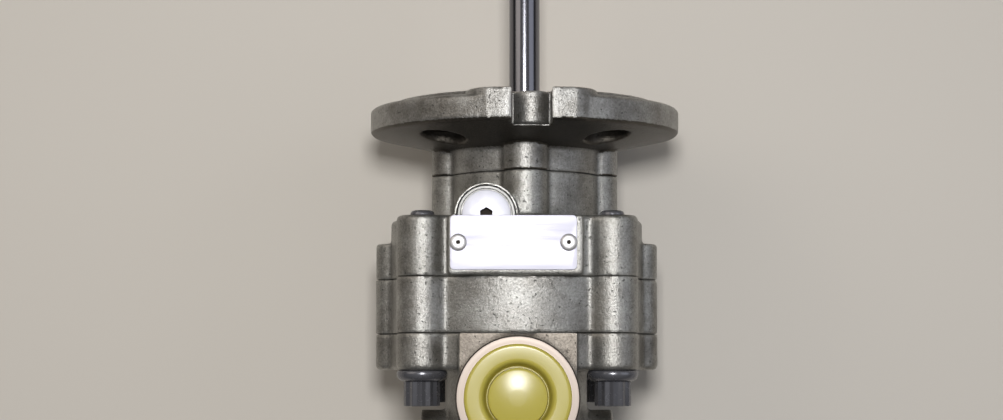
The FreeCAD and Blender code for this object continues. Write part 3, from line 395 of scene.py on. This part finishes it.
def rounded_plate(width, length, thickness, corner, place, turn=(0, 0, 0)):
    """A flat plate with round corners, its lower face at the place given."""
    bpy.ops.object.select_all(action="DESELECT")
    bpy.ops.mesh.primitive_plane_add(size=1)
    plate = bpy.context.object
    plate.scale = (width, length, 1)
    bpy.ops.object.transform_apply(location=True, rotation=True, scale=True)
    bpy.ops.object.mode_set(mode="EDIT")
    bpy.ops.mesh.select_all(action="SELECT")
    bpy.ops.mesh.bevel(offset=corner, segments=10, affect="VERTICES")
    bpy.ops.mesh.select_all(action="SELECT")
    bpy.ops.mesh.extrude_region_move(TRANSFORM_OT_translate={"value": (0, 0, thickness)})
    bpy.ops.mesh.select_all(action="SELECT")
    bpy.ops.mesh.normals_make_consistent(inside=False)
    bpy.ops.object.mode_set(mode="OBJECT")
    place_piece(plate, place, turn)
    return plate


def carve(piece, cutter, operation="DIFFERENCE"):
    """Cuts one solid out of another, or joins or crosses them, and clears the cutter away."""
    apply_modifier(piece, "BOOLEAN", operation=operation, solver="EXACT", object=cutter)
    bpy.data.objects.remove(cutter)


def machine_faces(casting, index, wanted):
    """Gives a further material to the faces that a tool has cut, or to faces painted dark as shade."""
    for face in casting.data.polygons:
        if wanted(face.center, face.normal):
            face.material_index = index


flange_metal = cast_aluminium("cast_flange_metal", "#ABAAA7", "#7D7A75")
flange_back_painted_shade_metal = cast_aluminium("painted_shade_cast_metal", "#5F5A53", "#4A4640")
flange_face = machined_aluminium("turned_flange_face", (0, 0, 0), "Y", "#D8CFC8", 0.75)
facing_y = (math.pi / 2, 0, 0)
land_width, land_length, land_thickness, land_corner = 64 * MM, 40 * MM, 15.6 * MM, 17 * MM
land_middle, land_front = 59.0 * MM, -0.1 * MM
land_reach, land_curve = 79.0 * MM, 150 * MM
slot_width, slot_cut = 19.6 * MM, 60 * MM
slot_middle = 70 * MM
upper_slot_x, lower_slot_x = 2.7 * MM, 0.0
lands = []
for side, slot_x in ((1, upper_slot_x), (-1, lower_slot_x)):
    land = rounded_plate(land_width, land_length, land_thickness, land_corner,
                         (slot_x, land_front, side * land_middle), facing_y)
    bpy.ops.mesh.primitive_cylinder_add(vertices=256, radius=land_curve, depth=slot_cut,
                                        rotation=facing_y,
                                        location=(slot_x, 0, side * (land_reach - land_curve)))
    carve(land, bpy.context.object, "INTERSECT")
    bpy.ops.mesh.primitive_cube_add(size=1, location=(slot_x, 0, side * slot_middle))
    slot_cutter = bpy.context.object
    slot_cutter.scale = (slot_width, slot_cut, slot_cut)
    carve(land, slot_cutter)
    lands.append(land)
flange = soften_casting("mounting_flange", "flange_casting", "cast_flange",
                        (flange_metal, flange_face, flange_back_painted_shade_metal), lands)
register_edge_low, register_edge_high, register_depth = 66.6 * MM, 68.4 * MM, 3.0 * MM
machine_faces(flange, 1, lambda c, n: c.y > -register_depth
              and (n.y > 0.9 or abs(c.x - upper_slot_x) < 9.6 * MM)
              and register_edge_low < math.hypot(c.x, c.z) < register_edge_high)
machine_faces(flange, 1, lambda c, n: c.y > -0.4 * MM and n.y > 0.9)
back_y, neck_radius = -15 * MM, 40 * MM
# Painted shade: the sloping back gets a darker copy of the cast metal.
machine_faces(flange, 2, lambda c, n: c.y < back_y and n.y < -0.3 and math.hypot(c.x, c.z) > neck_radius)
hole_circle, pocket_radius = 114.3 * MM, 12.5 * MM
hole_place = hole_circle / 2 * math.sqrt(0.5)
# Painted shade: the pockets round the screw holes get the same darker metal.
machine_faces(flange, 2, lambda c, n: c.y < back_y
              and math.hypot(abs(c.x) - hole_place, abs(c.z) - hole_place) < pocket_radius)

# Flange screws: four socket screws of alloy steel with a black oxide skin, dark grey with a soft shine.
# They are sunk into the flange's face and screwed into the ribs of the neck.
black_oxide = worked_metal("black_oxide", "#6A6A6F", 0.25, 0.62, (1, 1, 1), 2.0)
dress(smooth_node("flange_screws", 25), black_oxide)

# Rotor ring: the middle casting, of the same aluminium, bored off the shaft's axis for the outer rotor. A
# rubber ring seals its joint with the housing, and two ground steel dowels hold the castings in line.
ring_metal = cast_aluminium("cast_ring_metal", "#A9A8A4", "#827F7A")
soften_casting("rotor_ring", "ring_casting", "cast_ring", (ring_metal,))
seal_rubber("front_body_seal")
plain_steel("dowel_pins")

# Rotors: pressed and sintered steel, grey, dull and slightly porous. The inner one sits on the shaft's
# key, and its six teeth run in the seven of the outer one.
for node in ("inner_rotor", "outer_rotor"):
    dress(smooth_node(node), worked_metal("sintered_steel_" + node, "#8D8A86", 0.45, stretch=(1, 1, 1),
                                          mark_mm=1.0))


# Port cover: the rear casting, with its own rubber ring. Its upper block is milled flat, which leaves it
# matt and faintly brown. The faces round its two ports are milled in pale rings, and a thin dark ring
# round the upper one is a painted shadow line.
def turned_ring(name, outer, inner, low, high, place, material, slot):
    """A thin upright ring: a tube from a cylinder, given its wall and its broken edges by modifiers."""
    bpy.ops.object.select_all(action="DESELECT")
    bpy.ops.mesh.primitive_cylinder_add(
        vertices=192, radius=outer, depth=high - low, end_fill_type="NOTHING",
        location=(place[0], place[1], (low + high) / 2))
    ring = bpy.context.object
    bpy.ops.object.transform_apply(location=True, rotation=True, scale=True)
    apply_modifier(ring, "SOLIDIFY", thickness=outer - inner, offset=-1)
    broken_edge = min(0.2 * MM, (high - low) * 0.4)
    apply_modifier(ring, "BEVEL", width=broken_edge, segments=2)
    return finish_piece(ring, name, slot, None, material)


cover_metal = cast_aluminium("cast_cover_metal", "#A3A19C", "#7F7C77")
milled_metal = cast_aluminium("milled_block_metal", "#A39B91", "#7D756C", 1.0, 0.5)
cover = soften_casting("port_cover", "cover_casting", "cast_cover", (cover_metal, milled_metal),
                       voxel=1.1 * MM)
seal_rubber("rear_body_seal")
cap_rim = 3.0 * MM
inlet_low, inlet_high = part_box("inlet_cap")
outlet_low, outlet_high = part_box("outlet_cap")
port_x, port_y = (inlet_low.x + inlet_high.x) / 2, (inlet_low.y + inlet_high.y) / 2
inlet_face, outlet_face = inlet_high.z - cap_rim, outlet_low.z + cap_rim
machine_faces(cover, 1, lambda c, n: n.z > 0.8 and c.z > inlet_face - 2.5 * MM)
face_metal = machined_aluminium("milled_port_face", (port_x, port_y, 0), "Z", "#CDBFB4", 0.35)
# A dark matt material for painted shade: the shadow line round the upper port, the plug's socket and the
# rivets' dimples.
painted_shade_dark, tree = new_material("painted_shade_dark")
finish_material(tree, add(tree, "ShaderNodeBsdfPrincipled",
                          {"Base Color": linear("#332D27"), "Roughness": 0.9}))
port_axis = (port_x, port_y)
proud = 0.07 * MM
turned_ring("inlet_port_face", 29.3 * MM, 21 * MM, inlet_face - 1.4 * MM, inlet_face + proud, port_axis,
            face_metal, "cast_cover")
# Painted shadow: a thin dark ring just outside the upper port face.
turned_ring("inlet_painted_shadow_line", 29.95 * MM, 29.2 * MM, inlet_face - 1.5 * MM, inlet_face - 0.3 * MM, port_axis,
            painted_shade_dark, "cast_cover")
turned_ring("outlet_port_face", 23.9 * MM, 14 * MM, outlet_face - proud, outlet_face + 0.6 * MM, port_axis,
            face_metal, "cast_cover")

# Gallery plugs: turned steel with a zinc plating, pale and softly bright. They are screwed into the two
# ends of the cross gallery.
dress(smooth_node("gallery_plugs", 25),
      worked_metal("zinc_plate_gallery", "#B9B9BD", 0.4, 0.8, (1, 1, 1), 3.0))


# Body screws: four forged screws with round flanges and twelve-point heads, black like the flange's. They
# go through all three castings, and their thread ends stand a little beyond the shoulder.
def turned_solid(rings, place, turn=(0, 0, 0), vertices=144):
    """A solid turned about its axis: a disc extruded and scaled through (radius, height) rings in mm."""
    radius, height = rings[0]
    bpy.ops.object.select_all(action="DESELECT")
    bpy.ops.mesh.primitive_circle_add(vertices=vertices, radius=radius * MM, fill_type="NGON",
                                      location=(0, 0, height * MM))
    solid = bpy.context.object
    bpy.ops.object.transform_apply(location=True, rotation=True, scale=True)
    bpy.ops.object.mode_set(mode="EDIT")
    bpy.ops.mesh.select_all(action="SELECT")
    for next_radius, next_height in rings[1:]:
        rise = (0, 0, (next_height - height) * MM)
        bpy.ops.mesh.extrude_region_move(TRANSFORM_OT_translate={"value": rise})
        bpy.ops.transform.resize(value=(next_radius / radius, next_radius / radius, 1))
        radius, height = next_radius, next_height
    bpy.ops.mesh.select_all(action="SELECT")
    bpy.ops.mesh.normals_make_consistent(inside=False)
    bpy.ops.object.mode_set(mode="OBJECT")
    place_piece(solid, place, turn)
    return solid


def copied(piece, shift):
    """A copy of a piece with its own mesh, moved by a shift."""
    bpy.ops.object.select_all(action="DESELECT")
    piece.select_set(True)
    bpy.context.view_layer.objects.active = piece
    bpy.ops.object.duplicate()
    copy = bpy.context.object
    place_piece(copy, shift)
    return copy


def join_all(pieces):
    """Joins separate solids into the first of them."""
    bpy.ops.object.select_all(action="DESELECT")
    for piece in pieces:
        piece.select_set(True)
    bpy.context.view_layer.objects.active = pieces[0]
    bpy.ops.object.join()
    return pieces[0]


screws_low, screws_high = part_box("body_screws")
screw_flange = 12.5 * MM
screw_x = (screws_low.x + screws_high.x) / 2
screw_half = (screws_high.x - screws_low.x) / 2 - screw_flange
first_x, first_z = screw_x - screw_half, -screw_half
screw = turned_solid([
    (4.3, 0.0), (5.2, 0.25), (5.75, 0.8), (6.0, 1.7), (6.0, 78.7), (11.4, 78.7), (12.1, 79.0),
    (12.45, 79.7), (12.45, 80.9), (12.2, 81.9), (11.6, 82.8), (10.7, 83.5), (9.6, 84.0), (6.0, 84.1),
], (first_x, screws_high.y, first_z), facing_y, 72)
head_radius, head_length, head_edge = 9 * MM, 12.8 * MM, 0.5 * MM
for turn in (0, math.pi / 6):
    bpy.ops.mesh.primitive_cylinder_add(vertices=6, radius=head_radius, depth=head_length,
                                        rotation=(math.pi / 2, turn, 0),
                                        location=(first_x, screws_low.y + head_length / 2, first_z))
    hexagon = bpy.context.object
    place_piece(hexagon, hexagon.location, tuple(hexagon.rotation_euler))
    carve(screw, hexagon, "UNION")
apply_modifier(screw, "BEVEL", width=head_edge, segments=3, limit_method="ANGLE",
               angle_limit=math.radians(28))
screws = [screw]
for across, up in ((0, 1), (1, 0), (1, 1)):
    screws.append(copied(screw, (across * 2 * screw_half, 0, up * 2 * screw_half)))
black_screws = join_all(screws)
finish_piece(black_screws, "body_screws_forged", "black_screw", "body_screws", black_oxide)

# Flow valve and relief valve: a ground steel spool, grey with a soft shine, slides in the housing. A
# polished ball and its turned retainer sit inside it.
plain_steel("flow_spool")
plain_steel("relief_retainer")
dress(smooth_node("relief_ball"), worked_metal("bearing_steel_relief_ball", "#CFCFD0", 0.14))


# Springs of the two valves: coiled wire, dark and dull like the clips. Each stands between its valve and
# a seat, and in the pump it shortens as the valve lifts; here each coil keeps one length.
def coil_spring(name, node, turns, wire, body):
    """A closed coil of even pitch in the place of a spring node."""
    low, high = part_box(node)
    middle = (low + high) / 2
    radius = (high.x - low.x - wire) / 2
    bpy.ops.object.select_all(action="DESELECT")
    bpy.ops.mesh.primitive_circle_add(vertices=14, radius=wire / 2, location=(radius, 0, 0),
                                      rotation=(math.pi / 2, 0, 0))
    coil = bpy.context.object
    bpy.ops.object.transform_apply(location=True, rotation=True, scale=True)
    apply_modifier(coil, "SCREW", angle=2 * math.pi, axis="Z", iterations=turns, steps=40,
                   render_steps=40, screw_offset=(high.z - low.z - wire) / turns)
    bpy.ops.object.mode_set(mode="EDIT")
    bpy.ops.mesh.select_all(action="SELECT")
    bpy.ops.mesh.fill_holes(sides=0)
    bpy.ops.mesh.select_all(action="SELECT")
    bpy.ops.mesh.normals_make_consistent(inside=False)
    bpy.ops.object.mode_set(mode="OBJECT")
    place_piece(coil, (middle.x, middle.y, low.z + wire / 2))
    finish_piece(coil, name, "spring_steel", node, spring_steel, body=body)
    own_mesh(coil)


coil_spring("flow_spring_coil", "flow_spring", 6, 1.8 * MM, "housing")
coil_spring("relief_spring_coil", "relief_spring", 5, 0.8 * MM, "flow_valve")

# Sealing washer: a ring of soft copper, reddish and a little dull. It is squeezed between the valve plug
# and the boss.
dress(smooth_node("valve_plug_seal"), worked_metal("copper_washer", "#B8805C", 0.35))


# Valve plug: turned steel with a bright zinc plating, nearly white where it faces the light. A groove
# parts its raised disc from its collar, a hexagon socket opens in the middle, and the spring's seat is
# bored from below.
def bore(piece, radius, length, place, sides=48):
    """Cuts an upright hole whose middle is at the place given."""
    bpy.ops.object.select_all(action="DESELECT")
    bpy.ops.mesh.primitive_cylinder_add(vertices=sides, radius=radius, depth=length, location=place)
    carve(piece, bpy.context.object)


plug_low, plug_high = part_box("valve_plug")
plug_x, plug_y = (plug_low.x + plug_high.x) / 2, (plug_low.y + plug_high.y) / 2
plug_length, disc_edge = 16.6, 11.95 * MM
socket_radius, socket_mouth, seat_radius = 3.46 * MM, 3.6 * MM, 8.5 * MM
plug = turned_solid([
    (12.0, -plug_length), (12.0, -2.6), (14.0, -2.6), (14.0, -1.4), (13.8, -1.15), (12.8, -1.1),
    (12.6, -1.3), (12.5, -2.3), (11.9, -2.3), (11.8, -0.4), (11.7, -0.15), (11.4, 0.0),
], (plug_x, plug_y, plug_high.z))
bore(plug, socket_radius, 10 * MM, (plug_x, plug_y, plug_high.z), 6)
bore(plug, seat_radius, 20 * MM, (plug_x, plug_y, plug_high.z - plug_length * MM))
plug_white = worked_metal("bright_zinc_plate", "#CFCFD8", 0.5, 0.5, (1, 1, 1), 3.0)
plug_grey = worked_metal("dull_zinc_plate", "#7C7B79", 0.45, 0.8, (1, 1, 1), 2.0)
finish_piece(plug, "valve_plug_turned", "zinc_steel", "valve_plug", plug_white, plug_grey, painted_shade_dark)
machine_faces(plug, 1, lambda c, n: math.hypot(c.x - plug_x, c.y - plug_y) > disc_edge)
# Painted shade: the faces inside the hexagon socket are dark.
machine_faces(plug, 2, lambda c, n: math.hypot(c.x - plug_x, c.y - plug_y) < socket_mouth
              and c.z < plug_high.z - 0.1 * MM)

# Transport caps: soft moulded plastic, olive yellow with a gloss that shows the lamp. A wide rim lies on
# the port's face, and a groove runs round a domed middle with a small flat where the plastic entered the
# mould.
cap_plastic = moulded("cap_plastic", "#B1A549", 0.26, 6.0, 0.08, 0.15)


def transport_cap(name, node, rim, skirt, place, turn):
    """A cap turned in mm from its skirt over the rim and the groove to the dome."""
    top, dome_curve, dome_steps = 2.9, 158, 12
    button = skirt - 5.8
    dome_edge, flat_edge = button - 0.45, 3.7
    rings = [
        (skirt - 0.8, -11.0), (skirt, -10.0), (skirt, 0.0), (rim, 0.0), (rim, 1.6), (rim - 0.2, 2.3),
        (rim - 0.6, 2.7), (rim - 1.2, 2.88), (rim - 1.8, top), (button + 4.6, top), (button + 4.0, 2.86),
        (button + 3.5, 2.7), (button + 3.0, 2.3), (button + 2.5, 1.6), (button + 2.0, 0.4),
        (button + 1.6, -1.2), (button + 1.2, -2.6), (button + 0.8, -3.4), (button + 0.4, -3.4),
        (button + 0.15, -2.0), (button, 0.6), (button - 0.05, 1.25), (button - 0.2, 1.55),
    ]
    for i in range(dome_steps + 1):
        radius = dome_edge - i * (dome_edge - flat_edge) / dome_steps
        rings.append((radius, top - radius ** 2 / dome_curve))
    return finish_piece(turned_solid(rings, place, turn), name, "cap_yellow", node, cap_plastic)


cap_gap = 0.08 * MM
inlet_rim, outlet_rim = (inlet_high.x - inlet_low.x) / 2, (outlet_high.x - outlet_low.x) / 2
transport_cap("inlet_cap_moulded", "inlet_cap", inlet_rim / MM, 20.05,
              (port_x, port_y, inlet_face + cap_gap), (0, 0, 0))
transport_cap("outlet_cap_moulded", "outlet_cap", outlet_rim / MM, 13.35,
              (port_x, port_y, outlet_face - cap_gap), (math.pi, 0, 0))

# Name plate: bare aluminium sheet with a satin brushing, which shows as a pale glare. It stands a little
# proud of its pad, with burred edges that catch the light, and two rivets hold it.
plate_low, plate_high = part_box("name_plate")
plate_x, plate_y = (plate_low.x + plate_high.x) / 2, (plate_low.y + plate_high.y) / 2
plate_corner, plate_burr = 2.2 * MM, 0.25 * MM
plate = rounded_plate(plate_high.x - plate_low.x, plate_high.y - plate_low.y, plate_high.z - plate_low.z,
                      plate_corner, (plate_x, plate_y, plate_low.z))
rivet_half, rivet_hole = 26.8 * MM, 2.1 * MM
for way in (-1, 1):
    bore(plate, rivet_hole, 4 * MM, (plate_x + way * rivet_half, plate_y, plate_high.z))
apply_modifier(plate, "BEVEL", width=plate_burr, segments=3, limit_method="ANGLE",
               angle_limit=math.radians(60))
finish_piece(plate, "name_plate_sheet", "plate_aluminium", "name_plate",
             worked_metal("satin_plate", "#C9C8D4", 0.5, 0.55, (1.0, 14.0, 1.0), 30.0))

# Drive rivets: headed aluminium, pale and slightly dull. Each has a flat head with a round edge and a
# small dimple painted dark as shade, and is driven through the plate into its pad.
rivet_metal = worked_metal("rivet_metal", "#C4C2C2", 0.42, 0.75, (1, 1, 1), 2.0)
rivet = turned_solid([
    (1.9, -5.5), (1.9, 0.0), (4.05, 0.0), (4.2, 0.2), (4.15, 0.6), (3.85, 0.95), (3.3, 1.2), (2.4, 1.35),
    (1.3, 1.4), (0.95, 1.3), (0.8, 0.8), (0.3, 0.7),
], (plate_x - rivet_half, plate_y, plate_high.z), vertices=72)
rivets = join_all([rivet, copied(rivet, (2 * rivet_half, 0, 0))])
finish_piece(rivets, "drive_rivets", "rivet_aluminium", "plate_rivets", rivet_metal, painted_shade_dark)
dimple_radius, dimple_low, dimple_high = 1.0 * MM, 0.5 * MM, 1.25 * MM
# Painted shade: the faces in each dimple are dark.
machine_faces(rivets, 1, lambda c, n: plate_high.z + dimple_low < c.z < plate_high.z + dimple_high
              and math.hypot(abs(c.x - plate_x) - rivet_half, c.y - plate_y) < dimple_radius)
